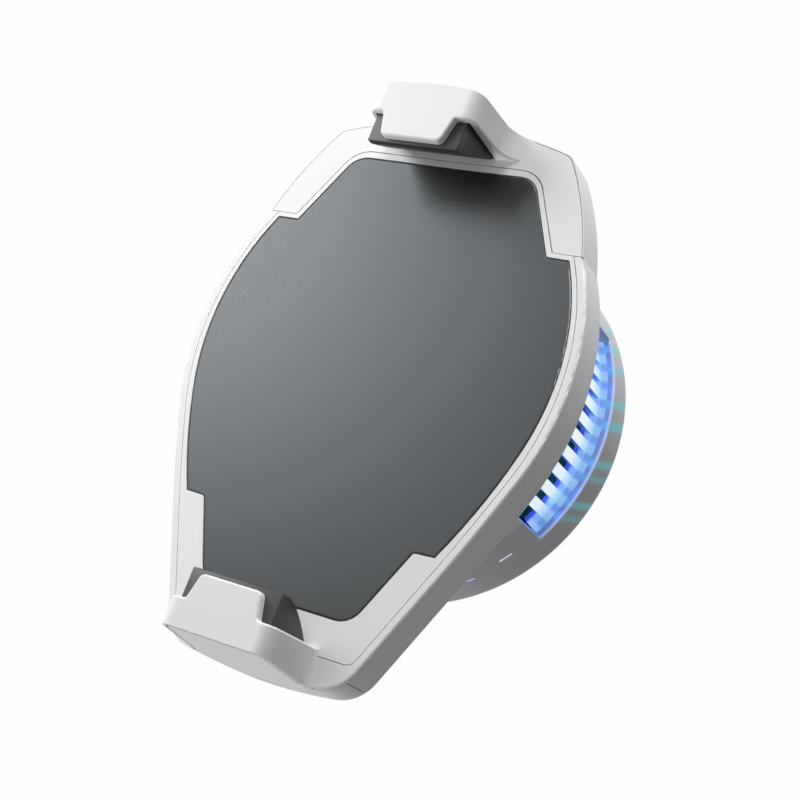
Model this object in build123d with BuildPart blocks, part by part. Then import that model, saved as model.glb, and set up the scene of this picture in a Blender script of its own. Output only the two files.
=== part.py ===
from build123d import *
from math import cos, sin, radians
import os

# A clip-on phone cooler, in millimetres. It lies on the rear rim of its drum, with the cold plate's
# face up. The origin is on the fan's axis at the rear rim, +Z points to the phone and +Y to the
# sliding jaw. Points of the slab's outlines are measured from the middle of the cold plate.

# Main sizes
face_height = 25.5
slab_depth = 6.0
plate_centre_y = -3.5
back_plate_thickness = 0.9
drum_radius = 28.1
drum_wall = 2.0
drum_edge_radius = 2.2
seam = 0.1
part_gap = 0.05
overrun = 1.0

# Slab outline, right half
rim_wide_x, rim_wide_y = 29.52, 4.04
rim_top_share, rim_top_y = 0.8476, 22.0
rim_join_share, rim_join_y = 0.917, -9.57
rim_low_share, rim_low_y = 0.6717, -27.0
foot_corner_share, foot_corner_y = 0.4709, -40.35
foot_y = -41.7
foot_radius = 6.0
slider_side_share, slider_side_y = 0.7453, 30.0
head_corner_share, head_corner_y = 0.6267, 36.0
head_y = 38.9
head_radius = 2.0
rim_width = 1.3
rim_edge_radius = 0.45
back_edge_radius = 0.5

# Cold plate outline, right half
plate_thickness = 1.5
plate_notch_share, plate_notch_y = 0.7886, 21.0
plate_notch_in_share = 0.6762
plate_wide_share, plate_wide_y = 0.9262, 6.2
plate_join_share, plate_join_y = 0.8811, -5.65
plate_low_share, plate_low_y = 0.6714, -21.0
plate_low_in_share, plate_low_in_y = 0.5674, -21.12
plate_top_share, plate_top_y = 0.4854, 32.0
plate_foot_share, plate_foot_y = 0.3974, -32.0
plate_corner_radius = 3.4
plate_notch_radius = 0.5
plate_edge_radius = 0.2
plate_gap = 0.12

# Panel round the plate, and the tongue that it covers under the slider
panel_thickness = 1.2
panel_foot_y = -36.9
panel_foot_radius = 1.6
shoulder_y = 21.75
tongue_low_share = 0.6958
tongue_top_share, tongue_top_y = 0.497, 33.0
tongue_radius = 4.4
slider_gap = 0.15
cavity_gap = 0.15

# Jaws: the hood is the arm seen from its end, the tab is the lip's nose
jaw_height = 10.4
hood_top_half = 8.2
hood_low_half = 8.97
hood_skirt_depth = 0.6
upper_flare_radius = 2.9
lower_flare_radius = 0.9
notch_radius = 0.5
notch_end_half = 6.15
hood_corner_radius = 2.0
lip_thickness = 1.1
tab_tip_half = 4.67
tab_base_half = 5.6
tab_tip_radius = 0.9
tab_edge_radius = 0.3
upper_hood_y = 34.2
upper_tab_y = 30.55
lower_hood_y = -36.1
lower_tab_y = -32.6
pocket_half = 7.45
pocket_depth = 1.5
jaw_wall_slope = 6.3
jaw_wall_y = -38.9
jaw_seam_depth = 0.45

# Rubber pads
pad_half = 7.05
pad_gap = 0.1
pad_corner_radius = 0.35
upper_pad_tip_y = 30.1
upper_pad_nose = 0.9
upper_pad_foot_y = 34.1
upper_pad_bulge = 0.35
lower_pad_tip_y = -31.95
lower_pad_nose = 1.7
lower_pad_foot_y = -36.4
lower_pad_bulge = 1.35

# Slider shell
slider_wall = 1.3
slider_floor = 1.1
slider_drop = 0.3
face_edge_inset = 0.25
jaw_zone_half = 12.3
slider_screw_arm_share, slider_screw_arm_y = 0.6335, 30.4
slider_screw_head_x, slider_screw_head_y = 7.5, 36.0
slider_boss_radius = 1.6

# Guide rods and their springs
rod_share = 0.7554
rod_drop = 3.25
rod_radius = 0.9
rod_play = 0.04
rod_inner_y = -12.0
rod_outer_y = 26.8
clip_radius = 1.5
clip_thickness = 0.5
bushing_radius = 1.25
bushing_length = 3.6
bushing_block_half = 2.0
bushing_block_top = 1.6
rod_block_half = 1.45
spring_wire = 0.4
spring_radius = 1.27
spring_turns = 20

# Fasteners
screw_radius = 0.6
screw_play = 0.05
screw_head_radius = 1.3
screw_head_height = 0.9
housing_screw_share, housing_screw_y = 0.5962, -25.0
housing_screw_low_share, housing_screw_low_y = 0.3218, -34.6
housing_screw_length = 4.4
plate_screw_x, plate_screw_y = 6.5, 26.3
plate_screw_bite = 1.0
standoff_radius = 1.7

# Cooling stack
boss_radius = 1.3
boss_gap = 0.3
thermal_pad_thickness = 0.2
peltier_side = 30.0
ceramic_thickness = 0.7
pellet_height = 1.6
pellet_side = 1.5
pellet_rows = 8
foam_gap = 0.2
foam_width = 1.8
base_thickness = 2.2
heatsink_rim = 1.8
fin_thickness = 0.8
fin_gap = 0.3
fin_count = 36
fin_core_radius = 6.5

# Fan and motor
duct_gap = 0.3
duct_wall = 1.0
duct_bottom = 1.7
duct_top = 9.0
motor_base_radius = 8.6
motor_base_thickness = 0.9
strut_width = 2.2
strut_angles = (90, 210, 330)
tube_radius = 2.6
tube_bore = 1.55
tube_top = 6.9
ear_radius = 1.7
ear_thickness = 1.5
post_inset = 2.1
post_angles = (60, 120, 240, 300)
shaft_radius = 0.75
shaft_bottom = 3.0
shaft_top = 8.1
sleeve_bottom = 3.75
sleeve_play = 0.04
thrust_thickness = 0.25
shaft_clip_radius = 1.2
shaft_clip_bottom = 3.2
hub_radius = 8.4
hub_wall = 0.75
hub_bottom = 3.3
hub_top = 8.4
hub_top_wall = 0.65
hub_boss_radius = 1.45
hub_boss_height = 0.45
blade_count = 9
blade_radius = 19.2
blade_thickness = 0.9
blade_root_chord = 6.0
blade_tip_chord = 9.0
blade_root_angle = 52
blade_tip_angle = 30
blade_sweep_angle = 14
blade_middle = 5.6
yoke_wall = 0.5
magnet_wall = 0.9
magnet_height = 3.4
magnet_bottom = 3.6
core_bottom = 3.9
core_height = 2.5
core_ring = 0.9
pole_count = 4
tooth_width = 1.3
tooth_reach = 5.0
pole_radius = 5.8
pole_angle = 66
coil_wall = 0.5
coil_start = 3.7
coil_end = 4.85
motor_board_thickness = 0.45

# Electronics
board_thickness = 1.0
board_gap = 0.3
board_width = 4.9
board_bottom = 4.2
led_side = 1.6
led_height = 0.6
led_inset = 0.8
usb_width = 8.94
usb_height = 3.26
usb_depth = 7.0
usb_wall = 0.35
usb_tongue = 0.7
usb_gap = 0.15
usb_recess = 0.35
chip_angles = (-47, -133, -146, -34, 75)
chip_sides = (3.0, 2.4, 2.0, 2.2, 1.8)
chip_height = 1.1
chip_inset = 3.2
lead_radius = 0.5
lead_xs = (7.0, 9.0)
lead_bend_share = 0.47
lead_gap = 1.6
lead_drop = 1.4
lead_slot = 3.6
thermistor_side = 1.4
thermistor_x, thermistor_y = 9.5, 18.6

# Side windows with their lit bars
vent_half_angle = 32
ledge_height = 7.1
grille_inner_depth = 1.8
grille_gap = 0.2
grille_bottom = 6.1
rail_height = 0.85
rail_setback = 0.9
rail_depth = 1.9
rail_chamfer = 0.7
top_rail_height = 0.6
bar_lead = 0.3
bar_depth = 0.7
bar_pitch_angle = 5.7
bar_angle = 3.3
bar_count = 10
status_heights = (8.6, 7.3)
status_angles = (-42.2, -54.4)
status_lengths = (2.1, 1.3)
status_widths = (0.4, 0.7)

# Rear guard
flange_thickness = 1.5
flange_width = 2.6
stack_gap = 0.8
guard_bottom = 0.4
guard_thickness = 1.0
guard_ring_width = 1.6
guard_bar_width = 0.9
guard_rings = (12.4, 16.0, 19.4)
guard_spokes = 18
cap_radius = 7.9
cap_thickness = 0.85
guard_hub_radius = 9.0

# Places worked out from the sizes above
rim_top_x = rim_top_share * rim_wide_x
rim_join_x = rim_join_share * rim_wide_x
rim_low_x = rim_low_share * rim_wide_x
foot_corner_x = foot_corner_share * rim_wide_x
slider_side_x = slider_side_share * rim_wide_x
head_corner_x = head_corner_share * rim_wide_x
plate_notch_x = plate_notch_share * rim_wide_x
plate_notch_in_x = plate_notch_in_share * rim_wide_x
plate_wide_x = plate_wide_share * rim_wide_x
plate_join_x = plate_join_share * rim_wide_x
plate_low_x = plate_low_share * rim_wide_x
plate_low_in_x = plate_low_in_share * rim_wide_x
plate_top_x = plate_top_share * rim_wide_x
plate_foot_x = plate_foot_share * rim_wide_x
tongue_low_x = tongue_low_share * rim_wide_x
tongue_top_x = tongue_top_share * rim_wide_x
slider_screw_arm_x = slider_screw_arm_share * rim_wide_x
rod_x = rod_share * rim_wide_x
housing_screw_x = housing_screw_share * rim_wide_x
housing_screw_low_x = housing_screw_low_share * rim_wide_x
slab_back = face_height - slab_depth
drum_inner = drum_radius - drum_wall
board_outer = drum_inner - board_gap
board_inner = board_outer - board_width
post_ring_radius = drum_inner - post_inset
led_ring_radius = board_outer - led_inset
chip_ring_radius = board_outer - chip_inset
duct_radius = board_inner - duct_gap - duct_wall
flange_opening = drum_inner - flange_width
grille_outer = drum_inner - grille_gap
grille_inner = drum_inner - grille_inner_depth
rail_outer = drum_radius - rail_setback
bar_outer = drum_inner + bar_lead
frame_bottom = slab_back + back_plate_thickness + part_gap
plate_back = face_height - plate_thickness
rod_z = face_height - rod_drop
peltier_height = 2 * ceramic_thickness + pellet_height
base_top = plate_back - 2 * thermal_pad_thickness - peltier_height
base_bottom = base_top - base_thickness
fin_bottom = duct_top + fin_gap
fin_height = base_bottom - fin_bottom
board_top = board_bottom + board_thickness
grille_top = slab_back - seam
lip_under = jaw_height - lip_thickness
motor_base_top = duct_bottom + motor_base_thickness
foam_inner = peltier_side + 2 * foam_gap
foam_outer = foam_inner + 2 * foam_width
boss_ring_radius = foam_outer / 2 + boss_radius + boss_gap
heatsink_radius = boss_ring_radius + heatsink_rim
stack_opening = heatsink_radius + stack_gap
lead_ring_radius = heatsink_radius + lead_gap
bushing_end_y = shoulder_y - bushing_length - overrun / 2


def slab_plane(z):
    """A level plane whose origin is over the middle of the cold plate."""
    return Plane(origin=(0, plate_centre_y, z))


def end_plane(y):
    """An upright plane across the slab, drawn in X and height above the plate's face."""
    return Plane(origin=(0, plate_centre_y + y, face_height), x_dir=(1, 0, 0), z_dir=(0, -1, 0))


def side_plane(x):
    """An upright plane along the slab, drawn in Y and height above the plate's face."""
    return Plane(origin=(x, plate_centre_y, face_height), x_dir=(0, 1, 0), z_dir=(1, 0, 0))


def mirrored_corners(shape, x, y):
    """The outline's two corners that lie nearest to a place and to its mirror image."""
    found = []
    for side in (1, -1):
        found.append(min(shape.vertices(), key=lambda v: (v.X - side * x) ** 2 + (v.Y - y) ** 2))
    return found


def slab_outline(foot_corner_radius):
    """The whole front slab seen from the phone, fixed part and slider together."""
    rim_top = (rim_top_x, rim_top_y)
    rim_join = (rim_join_x, rim_join_y)
    rim_low = (rim_low_x, rim_low_y)
    head = (head_corner_x, head_corner_y)
    foot = (foot_corner_x, foot_corner_y)
    with BuildSketch() as sketch:
        with BuildLine():
            upper = ThreePointArc(rim_top, (rim_wide_x, rim_wide_y), rim_join)
            TangentArc(rim_join, rim_low, tangent=upper % 1)
            Line(rim_low, foot)
            ThreePointArc(rim_top, (slider_side_x, slider_side_y), head)
            mirror(about=Plane.YZ)
            ThreePointArc(head, (0, head_y), (-head_corner_x, head_corner_y))
            ThreePointArc(foot, (0, foot_y), (-foot_corner_x, foot_corner_y))
        make_face()
        fillet(mirrored_corners(sketch, head_corner_x, head_corner_y), head_radius)
        fillet(mirrored_corners(sketch, foot_corner_x, foot_corner_y), foot_corner_radius)
    return sketch.sketch


def plate_outline():
    """The cold plate, with a notch at each of its four corners."""
    notch = (plate_notch_x, plate_notch_y)
    join = (plate_join_x, plate_join_y)
    low = (plate_low_x, plate_low_y)
    top = (plate_top_x, plate_top_y)
    foot = (plate_foot_x, plate_foot_y)
    with BuildSketch() as sketch:
        with BuildLine():
            upper = ThreePointArc(notch, (plate_wide_x, plate_wide_y), join)
            TangentArc(join, low, tangent=upper % 1)
            Polyline(low, (plate_low_in_x, plate_low_in_y), foot)
            Polyline(notch, (plate_notch_in_x, plate_notch_y), top)
            mirror(about=Plane.YZ)
            Line(top, (-plate_top_x, plate_top_y))
            Line(foot, (-plate_foot_x, plate_foot_y))
        make_face()
        fillet(mirrored_corners(sketch, plate_top_x, plate_top_y), plate_corner_radius)
        fillet(mirrored_corners(sketch, plate_foot_x, plate_foot_y), plate_corner_radius)
        fillet(mirrored_corners(sketch, plate_notch_in_x, plate_notch_y), plate_notch_radius)
        fillet(mirrored_corners(sketch, plate_low_in_x, plate_low_in_y), plate_notch_radius)
    return sketch.sketch


def tongue_outline():
    """The fixed tongue that stays between the slider's arms."""
    with BuildSketch() as sketch:
        with BuildLine():
            Polyline(
                (-tongue_low_x, shoulder_y),
                (-tongue_top_x, tongue_top_y),
                (tongue_top_x, tongue_top_y),
                (tongue_low_x, shoulder_y),
                (tongue_low_x, 0),
                (-tongue_low_x, 0),
                close=True,
            )
        make_face()
        fillet(mirrored_corners(sketch, tongue_top_x, tongue_top_y), tongue_radius)
    return sketch.sketch


def both_sides(x, y):
    """A place and its mirror image."""
    return [(x, y), (-x, y)]


def band(y_low, y_high):
    """A wide level strip, used to keep the part of an outline between two lines."""
    return Rectangle(4 * rim_wide_x, y_high - y_low, align=(Align.CENTER, Align.MIN)).moved(
        Location((0, y_low))
    )


slab = slab_outline(foot_radius)
plate_face = plate_outline()
tongue = tongue_outline()
fixed_region = (slab & band(2 * foot_y, shoulder_y)) + tongue
slider_region = (slab & band(shoulder_y + seam, 2 * head_y)) - offset(tongue, amount=slider_gap)
inner_rim = offset(slab_outline(rim_width + part_gap), amount=-rim_width)
panel_region = (inner_rim & band(panel_foot_y, shoulder_y)) + tongue
panel_region = fillet(panel_region.vertices().group_by(Axis.Y)[0], panel_foot_radius)
panel_hole = offset(plate_face, amount=plate_gap)
panel_pocket = offset(panel_region, amount=seam)
frame_cavity = offset(plate_face, amount=cavity_gap)
arm_zone = Rectangle(2 * hood_low_half, 4 * head_y)


def hood_profile(inset, flare_radius):
    """A jaw's arm seen from its end: flared foot, straight sides and rounded top."""
    low = hood_low_half - inset
    top = hood_top_half - inset
    height = jaw_height - inset
    skirt = low + flare_radius + inset + part_gap
    with BuildSketch() as sketch:
        with BuildLine():
            Polyline(
                (skirt, -hood_skirt_depth - inset),
                (skirt, -inset),
                (low, -inset),
                (top, height),
                (-top, height),
                (-low, -inset),
                (-skirt, -inset),
                (-skirt, -hood_skirt_depth - inset),
                close=True,
            )
        make_face()
        fillet(mirrored_corners(sketch, low, -inset), flare_radius + inset)
        fillet(mirrored_corners(sketch, top, height), hood_corner_radius - inset)
    return sketch.sketch


def tab_profile(tip_y, hood_y, base_y):
    """The lip's nose seen from above, up to the arm's front at hood_y; base_y lies inside the arm."""
    with BuildSketch() as sketch:
        with BuildLine():
            Polyline(
                (-notch_end_half, hood_y),
                (-tab_base_half, hood_y),
                (-tab_tip_half, tip_y),
                (tab_tip_half, tip_y),
                (tab_base_half, hood_y),
                (notch_end_half, hood_y),
                (notch_end_half, base_y),
                (-notch_end_half, base_y),
                close=True,
            )
        make_face()
        fillet(mirrored_corners(sketch, tab_tip_half, tip_y), tab_tip_radius)
        fillet(mirrored_corners(sketch, tab_base_half, hood_y), notch_radius)
    return sketch.sketch


def ring_sector(inner, outer, half_angle):
    """A flat piece of a ring, centred on +X."""
    with BuildSketch() as sketch:
        with BuildLine():
            start = (inner * cos(radians(half_angle)), inner * sin(radians(half_angle)))
            end = (outer * cos(radians(half_angle)), outer * sin(radians(half_angle)))
            ThreePointArc(start, (inner, 0), (start[0], -start[1]))
            ThreePointArc(end, (outer, 0), (end[0], -end[1]))
            Line(start, end)
            Line((start[0], -start[1]), (end[0], -end[1]))
        make_face()
    return sketch.sketch


# Cold plate: bosses for the heatsink's screws, and blind holes for the screws that hold the plate
plate_screw_places = both_sides(plate_screw_x, plate_screw_y) + both_sides(
    plate_screw_x, -plate_screw_y
)
with BuildPart() as cold_plate:
    with BuildSketch(slab_plane(plate_back)):
        add(plate_face)
    extrude(amount=plate_thickness)
    fillet(cold_plate.edges().group_by(Axis.Z)[-1], plate_edge_radius)
    with BuildSketch(Plane.XY.offset(plate_back)):
        with PolarLocations(boss_ring_radius, 4):
            Circle(boss_radius)
    extrude(amount=-(plate_back - base_top - part_gap))
    with BuildSketch(Plane.XY.offset(base_top)):
        with PolarLocations(boss_ring_radius, 4):
            Circle(screw_radius + screw_play)
    extrude(amount=plate_back - base_top, mode=Mode.SUBTRACT)
    with BuildSketch(slab_plane(plate_back)):
        with Locations(plate_screw_places):
            Circle(screw_radius + screw_play)
    extrude(amount=plate_screw_bite + screw_play, mode=Mode.SUBTRACT)

# Panel round the plate
with BuildPart() as front_panel:
    with BuildSketch(slab_plane(face_height - panel_thickness)):
        add(panel_region)
        add(panel_hole, mode=Mode.SUBTRACT)
    extrude(amount=panel_thickness)

# Plane of the fixed jaw's outer face, which leans in towards the lip
jaw_back = Plane(
    origin=(0, plate_centre_y + foot_y, slab_back),
    x_dir=(1, 0, 0),
    z_dir=(0, -cos(radians(jaw_wall_slope)), sin(radians(jaw_wall_slope))),
)


def jaw_wall(inset):
    """The wall behind the fixed jaw: it fills the arm's outline from behind, short of its edge."""
    depth = jaw_seam_depth + inset
    with BuildPart() as wall:
        with BuildSketch(end_plane(jaw_wall_y - inset)):
            add(hood_profile(depth, lower_flare_radius))
            with Locations((0, -slab_depth - overrun)):
                Rectangle(
                    2 * rim_wide_x,
                    slab_depth + overrun - depth,
                    align=(Align.CENTER, Align.MIN),
                )
        extrude(amount=2 * jaw_height)
    return wall.part


# Front frame: rim, side wall, bushing blocks and the fixed jaw
rod_places = both_sides(rod_x, -rod_drop)
housing_screw_places = both_sides(housing_screw_x, housing_screw_y) + both_sides(
    housing_screw_low_x, housing_screw_low_y
)
lower_jaw_wall_cut = jaw_wall(0)
with BuildPart() as front_frame:
    with BuildSketch(slab_plane(frame_bottom)):
        add(fixed_region)
    extrude(amount=face_height - frame_bottom)
    top_edges = front_frame.edges().group_by(Axis.Z)[-1]
    rim_edges = top_edges.filter_by(lambda e: e.center().Y < plate_centre_y + shoulder_y - seam)
    fillet(rim_edges, rim_edge_radius)
    with BuildSketch(slab_plane(face_height - panel_thickness - part_gap)):
        add(panel_pocket)
    extrude(amount=2 * panel_thickness, mode=Mode.SUBTRACT)
    with BuildSketch(slab_plane(frame_bottom - overrun)):
        add(frame_cavity)
    extrude(amount=slab_depth + 2 * overrun, mode=Mode.SUBTRACT)
    with BuildSketch(slab_plane(frame_bottom)):
        with Locations(both_sides(rod_x, bushing_end_y)):
            Rectangle(
                2 * bushing_block_half,
                shoulder_y - bushing_end_y - seam,
                align=(Align.CENTER, Align.MIN),
            )
    extrude(amount=rod_z + bushing_block_top - frame_bottom)
    with BuildSketch(end_plane(lower_hood_y)):
        add(hood_profile(0, lower_flare_radius))
    extrude(amount=2 * jaw_height)
    with BuildSketch(slab_plane(face_height - panel_thickness - part_gap)):
        add(panel_pocket)
    extrude(amount=panel_thickness + part_gap, mode=Mode.SUBTRACT)
    with BuildSketch(slab_plane(face_height)):
        add(panel_pocket - arm_zone)
    extrude(amount=jaw_height, mode=Mode.SUBTRACT)
    with BuildSketch(slab_plane(face_height + lip_under)):
        add(tab_profile(lower_tab_y, lower_hood_y, lower_hood_y - pocket_depth))
    extrude(amount=lip_thickness)
    fillet(
        front_frame.edges().group_by(Axis.Z)[-1].filter_by(
            lambda e: e.center().Y > plate_centre_y + lower_hood_y
        ),
        tab_edge_radius,
    )
    with BuildSketch(slab_plane(face_height)):
        with Locations((0, lower_hood_y - pocket_depth)):
            Rectangle(2 * pocket_half, 4 * pocket_depth, align=(Align.CENTER, Align.MIN))
    extrude(amount=lip_under, mode=Mode.SUBTRACT)
    with BuildSketch(slab_plane(frame_bottom)):
        add(fixed_region)
    extrude(amount=slab_depth + 2 * jaw_height, mode=Mode.INTERSECT)
    split(bisect_by=jaw_back, keep=Keep.BOTTOM)
    add(lower_jaw_wall_cut, mode=Mode.SUBTRACT)
    with BuildSketch(end_plane(shoulder_y + overrun)):
        with Locations(rod_places):
            Circle(bushing_radius + part_gap)
    extrude(amount=shoulder_y - bushing_end_y + 2 * overrun, mode=Mode.SUBTRACT)
    with BuildSketch(slab_plane(frame_bottom)):
        with Locations(housing_screw_places):
            Circle(screw_radius + screw_play)
    extrude(amount=housing_screw_length, mode=Mode.SUBTRACT)


def drum_places(radius, angles):
    """Places round the drum's axis, each turned to face outwards."""
    places = []
    for angle in angles:
        spot = (radius * cos(radians(angle)), radius * sin(radians(angle)))
        places.append(Location((*spot, 0), (0, 0, angle)))
    return places


def wall_plane(angle, radius, height):
    """An upright plane that faces out of the drum's wall."""
    out = (cos(radians(angle)), sin(radians(angle)), 0)
    return Plane(
        origin=(radius * out[0], radius * out[1], height),
        x_dir=(-out[1], out[0], 0),
        z_dir=out,
    )


# Rear housing: the slab's back, the drum with its side windows, and the fixed jaw's outer wall
usb_plane = wall_plane(-90, drum_radius - usb_recess, board_top + part_gap + usb_height / 2)
housing_jaw_wall = jaw_wall(seam)
with BuildPart() as housing_wall:
    with BuildSketch(slab_plane(slab_back + back_edge_radius)):
        add(slab)
    extrude(amount=slab_depth + 2 * jaw_height)
    add(housing_jaw_wall, mode=Mode.INTERSECT)
    split(bisect_by=jaw_back, keep=Keep.BOTTOM)

with BuildPart() as rear_housing:
    with BuildSketch(slab_plane(slab_back)):
        add(fixed_region)
    extrude(amount=back_plate_thickness)
    fillet(rear_housing.faces().sort_by(Axis.Z)[0].edges(), back_edge_radius)
    with BuildSketch():
        Circle(drum_radius)
    extrude(amount=slab_back)
    fillet(rear_housing.edges().group_by(Axis.Z)[0], drum_edge_radius)
    with BuildSketch(Plane.XY.offset(flange_thickness)):
        Circle(drum_inner)
    extrude(amount=slab_back - flange_thickness, mode=Mode.SUBTRACT)
    with BuildSketch():
        Circle(flange_opening)
    extrude(amount=flange_thickness, mode=Mode.SUBTRACT)
    with BuildSketch(Plane.XY.offset(slab_back)):
        Circle(stack_opening)
        with Locations((sum(lead_xs) / 2, -stack_opening)):
            Rectangle(2 * lead_xs[1] - 2 * lead_xs[0], lead_slot)
    extrude(amount=2 * back_plate_thickness, mode=Mode.SUBTRACT)
    with BuildSketch(slab_plane(slab_back)):
        with Locations(plate_screw_places):
            Circle(standoff_radius)
    extrude(amount=plate_back - slab_back - part_gap)
    with BuildSketch(Plane.XY.offset(board_top + part_gap)):
        with Locations(drum_places(post_ring_radius, post_angles)):
            Circle(ear_radius)
            Rectangle(drum_inner - post_ring_radius + seam, 2 * ear_radius, align=(Align.MIN, Align.CENTER))
    extrude(amount=slab_back - board_top)
    with BuildSketch(Plane.XY.offset(board_top)):
        with Locations(drum_places(post_ring_radius, post_angles)):
            Circle(screw_radius + screw_play)
    extrude(amount=housing_screw_length + 2 * overrun, mode=Mode.SUBTRACT)
    with BuildSketch(Plane.XY.offset(ledge_height)):
        for angle in (0, 180):
            with Locations(Location((0, 0, 0), (0, 0, angle))):
                add(ring_sector(drum_inner - overrun, drum_radius + overrun, vent_half_angle))
    extrude(amount=slab_back - ledge_height, mode=Mode.SUBTRACT)
    with BuildSketch(usb_plane):
        RectangleRounded(
            usb_width + 2 * usb_gap,
            usb_height + 2 * usb_gap,
            usb_height / 2,
        )
    extrude(amount=2 * drum_wall, both=True, mode=Mode.SUBTRACT)
    for angle, height, length, width in zip(
        status_angles, status_heights, status_lengths, status_widths
    ):
        with BuildSketch(wall_plane(angle, drum_radius, height)):
            SlotOverall(length, width)
        extrude(amount=drum_wall + overrun, both=True, mode=Mode.SUBTRACT)
    add(housing_wall.part)
    with BuildSketch(slab_plane(slab_back)):
        with Locations(housing_screw_places):
            Circle(screw_radius + screw_play)
    extrude(amount=back_plate_thickness, mode=Mode.SUBTRACT)
    with BuildSketch(slab_plane(slab_back)):
        with Locations(plate_screw_places):
            Circle(screw_radius + screw_play)
    extrude(amount=slab_depth, mode=Mode.SUBTRACT)


# Slider cover: the sliding end's face with the moving jaw
slider_face = slider_region & (offset(slab, amount=-face_edge_inset) + band(head_y, 2 * head_y))
jaw_zone = Rectangle(2 * jaw_zone_half, 2 * head_y, align=(Align.CENTER, Align.MIN))
slider_face = slider_face + (slider_region & jaw_zone)
slider_screw_places = both_sides(slider_screw_arm_x, slider_screw_arm_y) + both_sides(
    slider_screw_head_x, slider_screw_head_y
)
with BuildPart() as slider_cover:
    with BuildSketch(slab_plane(face_height - panel_thickness)):
        add(slider_face)
    extrude(amount=panel_thickness)
    with BuildSketch(end_plane(head_y + overrun)):
        add(hood_profile(0, upper_flare_radius))
    extrude(amount=head_y + overrun - upper_hood_y)
    with BuildSketch(slab_plane(face_height + lip_under)):
        add(tab_profile(upper_tab_y, upper_hood_y, upper_hood_y + pocket_depth))
    extrude(amount=lip_thickness)
    fillet(
        slider_cover.edges().group_by(Axis.Z)[-1].filter_by(
            lambda e: e.center().Y < plate_centre_y + upper_hood_y
        ),
        tab_edge_radius,
    )
    with BuildSketch(slab_plane(face_height)):
        with Locations((0, upper_hood_y + pocket_depth)):
            Rectangle(2 * pocket_half, 4 * pocket_depth, align=(Align.CENTER, Align.MAX))
    extrude(amount=lip_under, mode=Mode.SUBTRACT)
    with BuildSketch(slab_plane(face_height - panel_thickness)):
        add(slab)
    extrude(amount=slab_depth + 2 * jaw_height, mode=Mode.INTERSECT)
    with BuildSketch(slab_plane(face_height - panel_thickness)):
        with Locations(slider_screw_places):
            Circle(screw_radius + screw_play)
    extrude(amount=panel_thickness - 2 * screw_play, mode=Mode.SUBTRACT)

# Slider base: floor and side wall, with bosses for the guide rods and the screws
slider_bottom = slab_back + slider_drop
cover_seat = face_height - panel_thickness - part_gap
slider_strip = (slider_region - offset(slider_face, amount=seam)) - jaw_zone
slider_cavity = offset(slider_region, amount=-slider_wall)
with BuildPart() as slider_base:
    with BuildSketch(slab_plane(slider_bottom)):
        add(slider_region)
    extrude(amount=cover_seat - slider_bottom)
    with BuildSketch(slab_plane(slider_bottom + slider_floor)):
        add(slider_cavity)
    extrude(amount=slab_depth, mode=Mode.SUBTRACT)
    with BuildSketch(slab_plane(slider_bottom)):
        with Locations(both_sides(rod_x, shoulder_y + seam)):
            Rectangle(
                2 * rod_block_half,
                rod_outer_y - shoulder_y + overrun,
                align=(Align.CENTER, Align.MIN),
            )
        with Locations(slider_screw_places):
            Circle(slider_boss_radius)
        add(slider_region, mode=Mode.INTERSECT)
    extrude(amount=cover_seat - slider_bottom)
    with BuildSketch(slab_plane(cover_seat)):
        add(slider_strip)
    extrude(amount=face_height - cover_seat)
    with BuildSketch(end_plane(rod_outer_y + part_gap)):
        with Locations(rod_places):
            Circle(rod_radius + part_gap)
    extrude(amount=rod_outer_y - shoulder_y + overrun, mode=Mode.SUBTRACT)
    with BuildSketch(slab_plane(slider_bottom)):
        with Locations(slider_screw_places):
            Circle(screw_radius + screw_play)
    extrude(amount=slab_depth, mode=Mode.SUBTRACT)
    with BuildSketch(slab_plane(slider_bottom)):
        with Locations(slider_screw_places):
            Circle(screw_head_radius + screw_play)
    extrude(amount=screw_head_height, mode=Mode.SUBTRACT)


def jaw_pad(tip_y, nose, foot_y_place, back_y, bulge):
    """A rubber wedge that leans from the lip's nose down to the slab's face."""
    top = lip_under - pad_gap
    toward = 1 if back_y < tip_y else -1
    middle = ((tip_y + foot_y_place) / 2 + toward * bulge, (top - nose + part_gap) / 2 + bulge / 2)
    with BuildPart() as pad:
        with BuildSketch(side_plane(-pad_half)):
            with BuildLine():
                Polyline((foot_y_place, part_gap), (back_y, part_gap), (back_y, top), (tip_y, top))
                Line((tip_y, top), (tip_y, top - nose))
                ThreePointArc((tip_y, top - nose), middle, (foot_y_place, part_gap))
            make_face()
        extrude(amount=2 * pad_half)
        ends = pad.faces().filter_by(Axis.X)
        fillet([ends[0].edges().sort_by(Axis.Z)[-1], ends[1].edges().sort_by(Axis.Z)[-1]], pad_corner_radius)
    return pad


lower_jaw_pad = jaw_pad(
    lower_pad_tip_y,
    lower_pad_nose,
    lower_pad_foot_y,
    lower_hood_y - pocket_depth + pad_gap,
    lower_pad_bulge,
)
upper_jaw_pad = jaw_pad(
    upper_pad_tip_y,
    upper_pad_nose,
    upper_pad_foot_y,
    upper_hood_y + pocket_depth - pad_gap,
    upper_pad_bulge,
)

# Guide rods, their clips, the bushings that they run in, and their springs
rods = {}
for name, x in (("guide_rod_right", rod_x), ("guide_rod_left", -rod_x)):
    with BuildPart() as rod:
        with BuildSketch(end_plane(rod_outer_y)):
            with Locations((x, -rod_drop)):
                Circle(rod_radius)
        extrude(amount=rod_outer_y - rod_inner_y)
    rods[name] = rod

with BuildPart() as rod_clips:
    with BuildSketch(end_plane(rod_inner_y + 2 * clip_thickness)):
        with Locations(rod_places):
            Circle(clip_radius)
            Circle(rod_radius, mode=Mode.SUBTRACT)
    extrude(amount=clip_thickness)

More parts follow.
